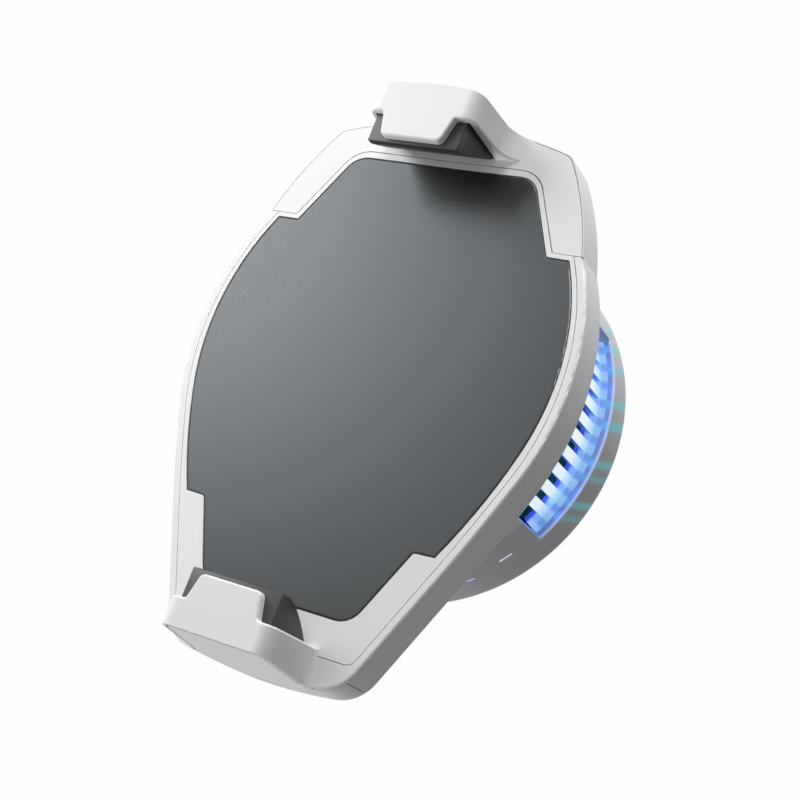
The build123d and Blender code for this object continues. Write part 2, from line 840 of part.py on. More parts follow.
with BuildPart() as guide_bushings:
    with BuildSketch(end_plane(bushing_end_y + bushing_length)):
        with Locations(rod_places):
            Circle(bushing_radius)
            Circle(rod_radius + rod_play, mode=Mode.SUBTRACT)
    extrude(amount=bushing_length)


def spring_path(x):
    """A helix along Y made of tangent quarter turns."""
    start_y = plate_centre_y + rod_inner_y + 2 * clip_thickness + spring_wire
    end_y = plate_centre_y + bushing_end_y - spring_wire
    steps = 4 * spring_turns
    pitch = (end_y - start_y) / steps
    places = []
    for step in range(steps + 1):
        turn = radians(90 * step)
        places.append(
            (
                x + spring_radius * cos(turn),
                start_y + pitch * step,
                rod_z + spring_radius * sin(turn),
            )
        )
    heading = Vector(0, pitch, spring_radius * radians(90))
    with BuildLine() as path:
        for first, last in zip(places, places[1:]):
            arc = TangentArc(first, last, tangent=heading)
            heading = arc % 1
    return path.wires()[0]


springs = {}
for name, x in (("return_spring_right", rod_x), ("return_spring_left", -rod_x)):
    helix = spring_path(x)
    with BuildPart() as spring:
        with BuildSketch(Plane(origin=helix @ 0, z_dir=helix % 0)):
            Circle(spring_wire / 2)
        sweep(path=helix)
    springs[name] = spring


def screws(plane, places, length):
    """A set of like screws; their heads stand on the plane and their shanks run along its normal."""
    with BuildPart() as group:
        with BuildSketch(plane):
            with Locations(places):
                Circle(screw_radius)
        extrude(amount=length)
        with BuildSketch(plane):
            with Locations(places):
                Circle(screw_head_radius)
        extrude(amount=-screw_head_height)
    return group


housing_screws = screws(slab_plane(slab_back), housing_screw_places, housing_screw_length)
plate_screws = screws(
    slab_plane(slab_back), plate_screw_places, slab_depth - plate_thickness + plate_screw_bite
)
slider_screws = screws(
    slab_plane(slider_bottom + screw_head_height),
    slider_screw_places,
    face_height - slider_bottom - screw_head_height - 6 * screw_play,
)
heatsink_screws = screws(
    Plane.XY.offset(base_bottom),
    drum_places(boss_ring_radius, (0, 90, 180, 270)),
    base_thickness + peltier_height / 2,
)
ear_bottom = board_bottom - part_gap - ear_thickness
fan_screws = screws(
    Plane.XY.offset(ear_bottom),
    drum_places(post_ring_radius, post_angles),
    ear_thickness + board_thickness + housing_screw_length,
)

# Peltier module: two ceramic plates with rows of pellets between them
pellet_pitch = (peltier_side - pellet_side) / pellet_rows
with BuildPart() as peltier_module:
    with BuildSketch(Plane.XY.offset(base_top + thermal_pad_thickness)):
        Rectangle(peltier_side, peltier_side)
    extrude(amount=ceramic_thickness)
    with BuildSketch(Plane.XY.offset(base_top + thermal_pad_thickness + ceramic_thickness)):
        with GridLocations(pellet_pitch, pellet_pitch, pellet_rows, pellet_rows):
            Rectangle(pellet_side, pellet_side)
    extrude(amount=pellet_height)
    with BuildSketch(Plane.XY.offset(plate_back - thermal_pad_thickness)):
        Rectangle(peltier_side, peltier_side)
    extrude(amount=-ceramic_thickness)

thermal_pads = {}
for name, height in (("hot_pad", base_top), ("cold_pad", plate_back - thermal_pad_thickness)):
    with BuildPart() as thermal_pad:
        with BuildSketch(Plane.XY.offset(height)):
            Rectangle(peltier_side, peltier_side)
        extrude(amount=thermal_pad_thickness)
    thermal_pads[name] = thermal_pad

# Leads from the Peltier module down to the board, and the foam seal that they pass through
lead_height = base_top + thermal_pad_thickness + peltier_height / 2
with BuildPart() as foam_gasket:
    with BuildSketch(Plane.XY.offset(base_top + part_gap)):
        Rectangle(foam_outer, foam_outer)
        Rectangle(foam_inner, foam_inner, mode=Mode.SUBTRACT)
    extrude(amount=plate_back - base_top - 2 * part_gap)
    with BuildSketch(Plane.XY.offset(lead_height - lead_drop / 2)):
        with Locations((sum(lead_xs) / 2, -(foam_inner + foam_width) / 2)):
            Rectangle(lead_xs[1] - lead_xs[0] + 3 * lead_radius, 2 * foam_width)
    extrude(amount=lead_drop, mode=Mode.SUBTRACT)

with BuildPart() as peltier_leads:
    for x in lead_xs:
        turn_y = -((lead_ring_radius**2 - x**2) ** 0.5)
        with BuildLine() as lead_path:
            FilletPolyline(
                (x, -peltier_side / 2, lead_height),
                (x, turn_y, lead_height),
                (x, turn_y, board_top),
                radius=lead_bend_share * (-turn_y - peltier_side / 2),
            )
        with BuildSketch(Plane(origin=lead_path.line @ 0, z_dir=lead_path.line % 0)):
            Circle(lead_radius)
        sweep(path=lead_path.wires()[0])

# Heatsink: a round base with radial fins, cut away round its screws
with BuildPart() as heatsink:
    with BuildSketch(Plane.XY.offset(base_bottom)):
        Circle(heatsink_radius)
    extrude(amount=base_thickness)
    with BuildSketch(Plane.XY.offset(fin_bottom)):
        Circle(fin_core_radius)
        with PolarLocations(0, fin_count):
            Rectangle(heatsink_radius - seam, fin_thickness, align=(Align.MIN, Align.CENTER))
    extrude(amount=fin_height)
    with BuildSketch(Plane.XY.offset(fin_bottom)):
        with PolarLocations(boss_ring_radius, 4):
            Circle(screw_head_radius + fin_thickness)
    extrude(amount=fin_height, mode=Mode.SUBTRACT)
    with BuildSketch(Plane.XY.offset(base_bottom)):
        with PolarLocations(boss_ring_radius, 4):
            Circle(screw_radius + screw_play)
    extrude(amount=base_thickness, mode=Mode.SUBTRACT)

# Fan frame: duct, struts, motor base with its bearing tube, and four ears
with BuildPart() as fan_frame:
    with BuildSketch(Plane.XY.offset(duct_bottom)):
        Circle(duct_radius + duct_wall)
        Circle(duct_radius, mode=Mode.SUBTRACT)
    extrude(amount=duct_top - duct_bottom)
    with BuildSketch(Plane.XY.offset(duct_bottom)):
        Circle(motor_base_radius)
        with Locations(drum_places(0, strut_angles)):
            Rectangle(duct_radius + duct_wall / 2, strut_width, align=(Align.MIN, Align.CENTER))
    extrude(amount=motor_base_thickness)
    with BuildSketch(Plane.XY.offset(motor_base_top)):
        Circle(tube_radius)
        Circle(tube_bore, mode=Mode.SUBTRACT)
    extrude(amount=tube_top - motor_base_top)
    with BuildSketch(Plane.XY.offset(ear_bottom)):
        with Locations(drum_places(post_ring_radius, post_angles)):
            Circle(ear_radius)
            Rectangle(
                post_ring_radius - duct_radius - duct_wall / 2,
                2 * ear_radius,
                align=(Align.MAX, Align.CENTER),
            )
            Circle(screw_radius + screw_play, mode=Mode.SUBTRACT)
    extrude(amount=ear_thickness)

# Motor parts that stand on the fan frame
with BuildPart() as bearing_sleeve:
    with BuildSketch(Plane.XY.offset(sleeve_bottom)):
        Circle(tube_bore - part_gap)
        Circle(shaft_radius + sleeve_play, mode=Mode.SUBTRACT)
    extrude(amount=tube_top - seam - sleeve_bottom)

with BuildPart() as thrust_plate:
    with BuildSketch(Plane.XY.offset(motor_base_top + part_gap)):
        Circle(tube_bore - seam)
    extrude(amount=thrust_thickness)

with BuildPart() as motor_board:
    with BuildSketch(Plane.XY.offset(motor_base_top + part_gap)):
        Circle(hub_radius - hub_wall - yoke_wall)
        Circle(tube_radius + seam, mode=Mode.SUBTRACT)
    extrude(amount=motor_board_thickness)

core_inner = tube_radius + part_gap
with BuildPart() as stator_core:
    with BuildSketch(Plane.XY.offset(core_bottom)):
        Circle(core_inner + core_ring)
        with PolarLocations(0, pole_count):
            Rectangle(tooth_reach + seam, tooth_width, align=(Align.MIN, Align.CENTER))
            add(ring_sector(tooth_reach, pole_radius, pole_angle / 2))
        Circle(core_inner, mode=Mode.SUBTRACT)
    extrude(amount=core_height)

coil_half = tooth_width / 2 + part_gap + coil_wall
with BuildPart() as stator_coils:
    with BuildSketch(Plane.XY.offset(core_bottom - part_gap - coil_wall)):
        with PolarLocations((coil_start + coil_end) / 2, pole_count):
            Rectangle(coil_end - coil_start, 2 * coil_half)
    extrude(amount=core_height + 2 * (part_gap + coil_wall))
    with BuildSketch(Plane.XY.offset(core_bottom - part_gap)):
        with PolarLocations((coil_start + coil_end) / 2, pole_count):
            Rectangle(2 * (coil_end - coil_start), tooth_width + 2 * part_gap)
    extrude(amount=core_height + 2 * part_gap, mode=Mode.SUBTRACT)

# Turning parts of the fan
with BuildPart() as shaft:
    with BuildSketch(Plane.XY.offset(shaft_bottom)):
        Circle(shaft_radius)
    extrude(amount=shaft_top - shaft_bottom)

with BuildPart() as shaft_clip:
    with BuildSketch(Plane.XY.offset(shaft_clip_bottom)):
        Circle(shaft_clip_radius)
        Circle(shaft_radius + part_gap / 2, mode=Mode.SUBTRACT)
    extrude(amount=thrust_thickness)

yoke_radius = hub_radius - hub_wall - part_gap
yoke_top = hub_top - hub_top_wall - part_gap
magnet_radius = yoke_radius - yoke_wall - part_gap
with BuildPart() as rotor_yoke:
    with BuildSketch(Plane.XY.offset(hub_bottom + seam)):
        Circle(yoke_radius)
    extrude(amount=yoke_top - hub_bottom - seam)
    with BuildSketch(Plane.XY.offset(hub_bottom)):
        Circle(yoke_radius - yoke_wall)
    extrude(amount=yoke_top - yoke_wall - hub_bottom, mode=Mode.SUBTRACT)
    with BuildSketch(Plane.XY.offset(yoke_top - yoke_wall)):
        Circle(hub_boss_radius + part_gap)
    extrude(amount=yoke_wall, mode=Mode.SUBTRACT)

with BuildPart() as magnet_ring:
    with BuildSketch(Plane.XY.offset(magnet_bottom)):
        Circle(magnet_radius)
        Circle(magnet_radius - magnet_wall, mode=Mode.SUBTRACT)
    extrude(amount=magnet_height)


def blade_plane(radius, sweep_angle, pitch_angle):
    """A plane across a blade: its X runs along the blade's chord."""
    out = Vector(cos(radians(sweep_angle)), sin(radians(sweep_angle)), 0)
    along = Vector(-out.Y, out.X, 0) * cos(radians(pitch_angle))
    chord = along + Vector(0, 0, sin(radians(pitch_angle)))
    return Plane(origin=out * radius + Vector(0, 0, blade_middle), x_dir=chord, z_dir=out)


with BuildPart() as blade:
    with BuildSketch(blade_plane(hub_radius - hub_wall / 2, 0, blade_root_angle)):
        SlotOverall(blade_root_chord, blade_thickness)
    with BuildSketch(blade_plane(blade_radius + overrun, blade_sweep_angle, blade_tip_angle)):
        SlotOverall(blade_tip_chord, blade_thickness)
    loft()

with BuildPart() as impeller:
    with PolarLocations(0, blade_count):
        add(blade.part)
    with BuildSketch():
        Circle(blade_radius)
    extrude(amount=duct_top, mode=Mode.INTERSECT)
    with BuildSketch(Plane.XY.offset(hub_bottom)):
        Circle(hub_radius)
        Circle(hub_radius - hub_wall, mode=Mode.SUBTRACT)
    extrude(amount=hub_top - hub_bottom)
    with BuildSketch(Plane.XY.offset(hub_top - hub_top_wall)):
        Circle(hub_radius - hub_wall / 2)
    extrude(amount=hub_top_wall)
    with BuildSketch(Plane.XY.offset(hub_top - hub_top_wall)):
        Circle(hub_boss_radius)
    extrude(amount=-hub_boss_height)
    with BuildSketch(Plane.XY.offset(hub_top - hub_top_wall - hub_boss_height)):
        Circle(shaft_radius + part_gap / 2)
    extrude(amount=shaft_top + part_gap / 2 - hub_top + hub_top_wall + hub_boss_height, mode=Mode.SUBTRACT)

# Ring board with its lights, chips, socket and the sensor on the cold plate
with BuildPart() as ring_board:
    with BuildSketch(Plane.XY.offset(board_bottom)):
        Circle(board_outer)
        Circle(board_inner, mode=Mode.SUBTRACT)
        with Locations(drum_places(post_ring_radius, post_angles)):
            Circle(screw_radius + screw_play, mode=Mode.SUBTRACT)
    extrude(amount=board_thickness)

led_angles = []
for side_angle in (0, 180):
    for step in range(0, bar_count, 2):
        led_angles.append(side_angle + bar_pitch_angle * (step - (bar_count - 2) / 2))
with BuildPart() as leds:
    with BuildSketch(Plane.XY.offset(board_top)):
        with Locations(drum_places(led_ring_radius, led_angles)):
            Rectangle(led_side, led_side)
    extrude(amount=led_height)

with BuildPart() as control_chips:
    for angle, side in zip(chip_angles, chip_sides):
        with BuildSketch(Plane.XY.offset(board_top)):
            with Locations(drum_places(chip_ring_radius, (angle,))):
                Rectangle(side, side)
        extrude(amount=chip_height)

with BuildPart() as usb_socket:
    with BuildSketch(usb_plane):
        RectangleRounded(usb_width, usb_height, usb_height / 2 - part_gap)
    extrude(amount=-usb_depth)
    with BuildSketch(usb_plane):
        RectangleRounded(
            usb_width - 2 * usb_wall,
            usb_height - 2 * usb_wall,
            usb_height / 2 - usb_wall - part_gap,
        )
    extrude(amount=-(usb_depth - usb_wall), mode=Mode.SUBTRACT)
    with BuildSketch(usb_plane.offset(-usb_recess)):
        Rectangle(usb_width - 2 * usb_height / 2, usb_tongue)
    extrude(amount=-(usb_depth - usb_recess))

with BuildPart() as thermistor:
    with BuildSketch(Plane.XY.offset(plate_back - part_gap)):
        with Locations((thermistor_x, thermistor_y)):
            Rectangle(thermistor_side, thermistor_side)
    extrude(amount=-thermistor_side / 2)

# Lit bars in the two side windows
grilles = {}
for name, side_angle in (("vent_grille_right", 0), ("vent_grille_left", 180)):
    turned = Location((0, 0, 0), (0, 0, side_angle))
    half = vent_half_angle - bar_angle / 8
    rail_top = ledge_height + part_gap + rail_height
    with BuildPart() as grille:
        with BuildSketch(Plane.XY.offset(ledge_height + part_gap)):
            with Locations(turned):
                add(ring_sector(rail_outer - rail_depth, rail_outer, half))
        extrude(amount=rail_height)
        lip_edge = grille.edges().group_by(Axis.Z)[-1].sort_by(lambda e: e.center().length)[-1]
        chamfer(lip_edge, rail_chamfer)
        with BuildSketch(Plane.XY.offset(grille_bottom)):
            with Locations(turned):
                add(ring_sector(grille_inner, grille_outer, half))
        extrude(amount=ledge_height + 2 * part_gap - grille_bottom)
        with BuildSketch(Plane.XY.offset(grille_top)):
            with Locations(turned):
                add(ring_sector(rail_outer - rail_depth, bar_outer, half))
        extrude(amount=-top_rail_height)
        with BuildSketch(Plane.XY.offset(rail_top)):
            for step in range(bar_count):
                angle = side_angle + bar_pitch_angle * (step - (bar_count - 1) / 2)
                with Locations(Location((0, 0, 0), (0, 0, angle))):
                    add(ring_sector(bar_outer - bar_depth, bar_outer, bar_angle / 2))
        extrude(amount=grille_top - rail_top)
    grilles[name] = grille

status_windows = {}
for name, angle, height, length, width in zip(
    ("status_window_white", "status_window_violet"),
    status_angles,
    status_heights,
    status_lengths,
    status_widths,
):
    with BuildPart() as status_window:
        with BuildSketch(wall_plane(angle, drum_radius - part_gap, height)):
            SlotOverall(length - part_gap, width - part_gap)
        extrude(amount=-drum_wall)
    status_windows[name] = status_window

# Rear guard with its blank cap
with BuildPart() as rear_guard:
    with BuildSketch(Plane.XY.offset(guard_bottom)):
        Circle(flange_opening - seam)
        Circle(flange_opening - seam - guard_ring_width, mode=Mode.SUBTRACT)
        for radius in guard_rings:
            with BuildSketch(mode=Mode.PRIVATE) as guard_bar:
                Circle(radius + guard_bar_width / 2)
                Circle(radius - guard_bar_width / 2, mode=Mode.SUBTRACT)
            add(guard_bar.sketch)
        with PolarLocations(0, guard_spokes):
            Rectangle(
                flange_opening - guard_ring_width,
                guard_bar_width,
                align=(Align.MIN, Align.CENTER),
            )
        Circle(guard_hub_radius)
    extrude(amount=guard_thickness)
    with BuildSketch(Plane.XY.offset(guard_bottom)):
        Circle(cap_radius + part_gap)
    extrude(amount=cap_thickness + part_gap - guard_bottom, mode=Mode.SUBTRACT)

with BuildPart() as hub_cap:
    with BuildSketch():
        Circle(cap_radius)
    extrude(amount=cap_thickness)

pieces = {
    "cold_plate": cold_plate,
    "front_panel": front_panel,
    "front_frame": front_frame,
    "rear_housing": rear_housing,
    "slider_cover": slider_cover,
    "slider_base": slider_base,
    "lower_jaw_pad": lower_jaw_pad,
    "upper_jaw_pad": upper_jaw_pad,
    "rod_clips": rod_clips,
    "guide_bushings": guide_bushings,
    "housing_screws": housing_screws,
    "plate_screws": plate_screws,
    "slider_screws": slider_screws,
    "heatsink_screws": heatsink_screws,
    "fan_screws": fan_screws,
    "peltier_module": peltier_module,
    "foam_gasket": foam_gasket,
    "peltier_leads": peltier_leads,
    "heatsink": heatsink,
    "fan_frame": fan_frame,
    "bearing_sleeve": bearing_sleeve,
    "thrust_plate": thrust_plate,
    "motor_board": motor_board,
    "stator_core": stator_core,
    "stator_coils": stator_coils,
    "shaft": shaft,
    "shaft_clip": shaft_clip,
    "rotor_yoke": rotor_yoke,
    "magnet_ring": magnet_ring,
    "impeller": impeller,
    "ring_board": ring_board,
    "leds": leds,
    "control_chips": control_chips,
    "usb_socket": usb_socket,
    "thermistor": thermistor,
    "rear_guard": rear_guard,
    "hub_cap": hub_cap,
    **rods,
    **springs,
    **thermal_pads,
    **grilles,
    **status_windows,
}

os.makedirs("parts", exist_ok=True)
for name, piece in pieces.items():
    piece.part.label = name
    export_step(piece.part, f"parts/{name}.step")
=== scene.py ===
# %% [markdown]
# # Phone cooling fan: the looks
#
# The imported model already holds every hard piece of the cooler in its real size. This script
# gives each piece the finish of the real one, remakes the two rubber jaw pads as soft moulded
# shapes, and sets up the studio: floor, lamps and camera.

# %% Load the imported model
from math import radians

import bmesh
import bpy
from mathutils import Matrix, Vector


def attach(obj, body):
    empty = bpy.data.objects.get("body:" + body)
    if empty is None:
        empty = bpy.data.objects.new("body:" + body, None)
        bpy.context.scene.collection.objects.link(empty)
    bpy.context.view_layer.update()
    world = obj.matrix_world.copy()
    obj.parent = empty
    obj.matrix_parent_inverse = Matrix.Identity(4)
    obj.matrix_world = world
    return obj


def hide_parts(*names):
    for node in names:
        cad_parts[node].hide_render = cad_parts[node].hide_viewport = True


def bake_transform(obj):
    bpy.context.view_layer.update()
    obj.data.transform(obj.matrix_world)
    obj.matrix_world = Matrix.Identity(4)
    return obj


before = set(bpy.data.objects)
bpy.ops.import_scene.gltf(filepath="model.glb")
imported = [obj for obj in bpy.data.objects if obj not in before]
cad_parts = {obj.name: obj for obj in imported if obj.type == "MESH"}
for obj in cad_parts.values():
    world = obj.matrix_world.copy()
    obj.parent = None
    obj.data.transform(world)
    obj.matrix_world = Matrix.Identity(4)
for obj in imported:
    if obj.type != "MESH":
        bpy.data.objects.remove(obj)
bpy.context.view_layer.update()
MM = 0.001

# %% [markdown]
# ## Colours and nodes
#
# Colours are easiest to note as hex values, the way a colour picker shows them, but shaders
# work in linear light. One function turns the one into the other. A second function adds a
# node with its settings and inputs, so that each finish below reads as a short list. Where an
# input is given a node, it is linked to that node's first output.


# %% Colour and node helpers
def linear(hex_colour):
    """An sRGB hex colour as the linear RGBA that shaders use."""
    channels = []
    for start in (0, 2, 4):
        value = int(hex_colour[start : start + 2], 16) / 255
        channels.append(value / 12.92 if value <= 0.04045 else ((value + 0.055) / 1.055) ** 2.4)
    return (*channels, 1.0)


def set_inputs(tree, node, inputs):
    """Gives each input its value, which may be a hex colour, or a link from another node."""
    for socket, item in inputs.items():
        if isinstance(item, bpy.types.Node):
            item = next(output for output in item.outputs if output.enabled)
        if isinstance(item, bpy.types.NodeSocket):
            tree.links.new(item, node.inputs[socket])
        else:
            value = linear(item) if isinstance(item, str) else item
            node.inputs[socket].default_value = value


def add_node(tree, kind, inputs=None, **settings):
    """A new node with its settings and its inputs."""
    node = tree.nodes.new(kind)
    for name, value in settings.items():
        setattr(node, name, value)
    set_inputs(tree, node, inputs or {})
    return node


def new_finish(name):
    """An empty material: returns it with its node tree, its shader and its object coordinates."""
    finish = bpy.data.materials.new(name)
    finish.use_nodes = True
    tree = finish.node_tree
    shader = tree.nodes["Principled BSDF"]
    place = add_node(tree, "ShaderNodeTexCoord").outputs["Object"]
    return finish, tree, shader, place


def set_stops(ramp, stops):
    """Gives a colour ramp its stops, each a position and a hex colour."""
    elements = ramp.color_ramp.elements
    while len(elements) < len(stops):
        elements.new(0.5)
    for element, (position, hex_colour) in zip(elements, stops):
        element.position = position
        element.color = linear(hex_colour)


# %% [markdown]
# ## Moulded white ABS
#
# The shells are injection-moulded ABS. The mould is spark-eroded, which leaves a very fine,
# even grain that takes the shine off. The grain is about a twentieth of a millimetre on the
# real part, too fine to show, so it is drawn five times as coarse. A slow noise shifts the
# roughness a little, as handling does. The fan, its frame and the rear guard are black nylon
# with glass fibres, which is moulded in the same way and leaves a rougher skin.

# %% White ABS and black nylon
GRAIN_SHOWN = 0.25 * MM
GRAIN_STRENGTH = 0.35
HANDLING_PATCH = 14 * MM
PATCH_LOW, PATCH_HIGH = 0.3, 0.7


def moulded_plastic(name, light_hex, dark_hex, rough_low, rough_high, grain_depth):
    """Injection-moulded plastic with a fine mould grain and faintly uneven roughness."""
    finish, tree, shader, place = new_finish(name)
    patches = add_node(
        tree,
        "ShaderNodeTexNoise",
        {"Vector": place, "Scale": 1 / HANDLING_PATCH, "Detail": 3.0},
    )
    colour = add_node(tree, "ShaderNodeValToRGB", {"Fac": patches})
    set_stops(colour, [(PATCH_LOW, dark_hex), (PATCH_HIGH, light_hex)])
    roughness = add_node(
        tree,
        "ShaderNodeMapRange",
        {
            "Value": patches,
            "From Min": PATCH_LOW,
            "From Max": PATCH_HIGH,
            "To Min": rough_low,
            "To Max": rough_high,
        },
    )
    grain = add_node(
        tree, "ShaderNodeTexNoise", {"Vector": place, "Scale": 1 / GRAIN_SHOWN, "Detail": 2.0}
    )
    bump = add_node(
        tree,
        "ShaderNodeBump",
        {"Height": grain, "Strength": GRAIN_STRENGTH, "Distance": grain_depth},
    )
    set_inputs(tree, shader, {"Base Color": colour, "Roughness": roughness, "Normal": bump})
    return finish


white_abs = moulded_plastic("white ABS", "EDEEEF", "E8E9EB", 0.40, 0.50, 0.01 * MM)
nylon = moulded_plastic("black glass-filled nylon", "232427", "1C1D20", 0.45, 0.60, 0.02 * MM)
print("moulded finishes:", white_abs.name, nylon.name)

# %% [markdown]
# ## Light on the drum
#
# Light from the bars runs over the drum's ledge and down its wall. On the ledge it is a row of
# blue patches, and on the wall it leaves teal streaks that lean a little. All of it is painted
# light: a weak emission over the white plastic, whose base colour takes the light's colours too.
# The pale edge of the ledge is a painted highlight. A mask says where each lies. It is a product
# of bands with soft edges: one of angles round the drum's axis, one of heights and one of
# distances from the axis.

# %% Helpers for masks
SOFT_EDGE = 0.1 * MM


def product(tree, first, *others):
    """The product of several values."""
    for other in others:
        first = add_node(tree, "ShaderNodeMath", {0: first, 1: other}, operation="MULTIPLY")
    return first


def length_of(tree, first, second):
    """The length of a line from its two parts, which stand at a right angle."""
    squares = {0: product(tree, first, first), 1: product(tree, second, second)}
    total = add_node(tree, "ShaderNodeMath", squares, operation="ADD")
    return add_node(tree, "ShaderNodeMath", {0: total}, operation="SQRT")


def between(tree, value, low, high, soft=SOFT_EDGE):
    """1 where a value lies between two limits, and 0 outside, with soft edges."""
    rise = {"Value": value, "From Min": low - soft, "From Max": low + soft}
    fall = {"Value": value, "From Min": high + soft, "From Max": high - soft}
    return product(
        tree,
        add_node(tree, "ShaderNodeMapRange", rise),
        add_node(tree, "ShaderNodeMapRange", fall),
    )


def layered(tree, colour, *layers):
    """A colour with others laid over it, each given after the mask that shows it."""
    for mask, upper in layers:
        stack = {"Factor": mask, "A": colour, "B": upper}
        colour = add_node(tree, "ShaderNodeMix", stack, data_type="RGBA")
    return colour


print("edge of a mask in metres:", SOFT_EDGE)

# %% White ABS of the housing, and the light on its ledge
LEDGE_LOW, LEDGE_HIGH = 6.7 * MM, 7.3 * MM
LEDGE_INNER, LEDGE_EDGE, LEDGE_OUTER = 25.0 * MM, 27.85 * MM, 28.3 * MM
DRUM_OUTER = 29 * MM
WINDOW_HALF, WINDOW_SOFT = radians(32), radians(1.0)

lit_abs = white_abs.copy()
lit_abs.name = "white ABS, lit rim"
tree = lit_abs.node_tree
shader = tree.nodes["Principled BSDF"]
place = next(n for n in tree.nodes if n.type == "TEX_COORD").outputs["Object"]
x, y, z = add_node(tree, "ShaderNodeSeparateXYZ", {"Vector": place}).outputs
side = add_node(tree, "ShaderNodeMath", {0: x}, operation="ABSOLUTE")
angle = add_node(tree, "ShaderNodeMath", {0: y, 1: side}, operation="ARCTAN2")
radius = length_of(tree, x, y)
on_ledge = product(
    tree,
    between(tree, angle, -WINDOW_HALF, WINDOW_HALF, WINDOW_SOFT),
    between(tree, z, LEDGE_LOW, LEDGE_HIGH),
    between(tree, radius, LEDGE_INNER, LEDGE_OUTER),
)
# Painted highlight: a pale band along the ledge's outer rim.
ledge_highlight = product(tree, on_ledge, between(tree, radius, LEDGE_EDGE, DRUM_OUTER))
print("finish of the housing:", lit_abs.name)

# %% Streaks on the drum's wall
WALL_INNER = 27.6 * MM
STREAK_LOW, STREAK_HIGH, STREAK_SOFT = 1.2 * MM, 7.6 * MM, 0.6 * MM
STREAK_SLANT = radians(0.65) / MM
STREAK_FIRST, STREAK_LAST = -32, 48
# Each streak's angle and half width in degrees, and its strength as a grey.
STREAKS = (
    (-24, 1.9, "C8C8C8"),
    (-19.5, 2.1, "FFFFFF"),
    (-11, 1.9, "C8C8C8"),
    (-6.5, 2.2, "FFFFFF"),
    (5, 2.6, "FFFFFF"),
    (11.5, 2.3, "FFFFFF"),
    (22, 2.6, "E0E0E0"),
    (29, 2.3, "FFFFFF"),
    (35.5, 2.6, "E0E0E0"),
)

drop = add_node(tree, "ShaderNodeMath", {0: z, 1: LEDGE_HIGH}, operation="SUBTRACT")
lean = product(tree, drop, STREAK_SLANT)
slanted = add_node(tree, "ShaderNodeMath", {0: angle, 1: lean}, operation="ADD")
turn_share = add_node(
    tree,
    "ShaderNodeMapRange",
    {"Value": slanted, "From Min": radians(STREAK_FIRST), "From Max": radians(STREAK_LAST)},
)
stops = [(0.0, "000000")]
for streak, half_angle, level in STREAKS:
    middle = (streak - STREAK_FIRST) / (STREAK_LAST - STREAK_FIRST)
    half = half_angle / (STREAK_LAST - STREAK_FIRST)
    stops += [(middle - half, "000000"), (middle, level), (middle + half, "000000")]
streak_mask = add_node(tree, "ShaderNodeValToRGB", {"Fac": turn_share})
streak_mask.color_ramp.interpolation = "EASE"
set_stops(streak_mask, stops)
streak_here = product(
    tree,
    streak_mask,
    between(tree, z, STREAK_LOW, STREAK_HIGH, STREAK_SOFT),
    between(tree, radius, WALL_INNER, DRUM_OUTER),
)
print("streaks on the wall:", len(STREAKS))

# %% [markdown]
# ## Painted shade on the drum and along the seam
#
# The drum is painted a little greyer than the slab above it, as painted shade for the slab's
# overhang. A thin band of painted shade darkens the edge of the fixed jaw's outer wall along its
# seam. The wall is narrow at the top and widens downwards, with rounded top corners, and the
# shaded band follows this outline. The measure for it is the reach past a smaller outline, which
# lies inside the wall's by the radius of its corners. The reach is that radius at the wall's
# edge, so the band begins a little below it.

# %% Greys of the housing
DRUM_BOTTOM, DRUM_TOP, DRUM_BLEND = -1 * MM, 13.6 * MM, 0.6 * MM
JAW_WALL_FOOT, JAW_WALL_TOP, JAW_WALL_HALF = 25.9 * MM, 35.35 * MM, 7.65 * MM
JAW_WALL_LEAN, JAW_WALL_ROUND = 0.0738, 1.45 * MM
JAW_WALL_BACK, JAW_WALL_FRONT = -47 * MM, -43 * MM
SEAM_WIDTH, SEAM_SOFT, SEAM_BEYOND = 0.22 * MM, 0.03 * MM, 1 * MM

# Painted shade: the drum below the slab is painted greyer, for the shade of its overhang.
drum_shade_mask = between(tree, z, DRUM_BOTTOM, DRUM_TOP, DRUM_BLEND)
to_top = add_node(tree, "ShaderNodeMath", {0: JAW_WALL_TOP, 1: z}, operation="SUBTRACT")
widening = product(tree, to_top, JAW_WALL_LEAN)
wall_half = add_node(tree, "ShaderNodeMath", {0: widening, 1: JAW_WALL_HALF}, operation="ADD")
to_side = add_node(tree, "ShaderNodeMath", {0: wall_half, 1: side}, operation="SUBTRACT")
beyond = []
for inset in (to_top, to_side):
    ends = {0: JAW_WALL_ROUND, 1: inset}
    past = add_node(tree, "ShaderNodeMath", ends, operation="SUBTRACT")
    beyond.append(add_node(tree, "ShaderNodeMath", {0: past, 1: 0.0}, operation="MAXIMUM"))
reach = length_of(tree, *beyond)
# Painted shade: a thin darker band along the seam of the fixed jaw's outer wall.
seam_shade_mask = product(
    tree,
    between(tree, z, JAW_WALL_FOOT, JAW_WALL_TOP + SEAM_BEYOND),
    between(tree, y, JAW_WALL_BACK, JAW_WALL_FRONT),
    between(tree, reach, JAW_WALL_ROUND - SEAM_WIDTH, JAW_WALL_ROUND + SEAM_BEYOND, SEAM_SOFT),
)
print("width of the shaded band in metres:", SEAM_WIDTH)

# %% Colours and light of the housing
LEDGE_GLOW, STREAK_GLOW = 0.48, 0.34
LIGHT_COVER = 0.85

own_colour = shader.inputs["Base Color"].links[0].from_socket
ledge_colour = layered(tree, "5878B4", (streak_mask, "4EA4DC"), (ledge_highlight, "A8B4DC"))
light_colour = layered(tree, "55B4BC", (on_ledge, ledge_colour))
# Painted light: where it falls, the light's colour also covers most of the white base colour.
lit = add_node(tree, "ShaderNodeMath", {0: on_ledge, 1: streak_here}, operation="MAXIMUM")
cover = product(tree, lit, LIGHT_COVER)
glows = {0: product(tree, on_ledge, LEDGE_GLOW), 1: product(tree, streak_here, STREAK_GLOW)}
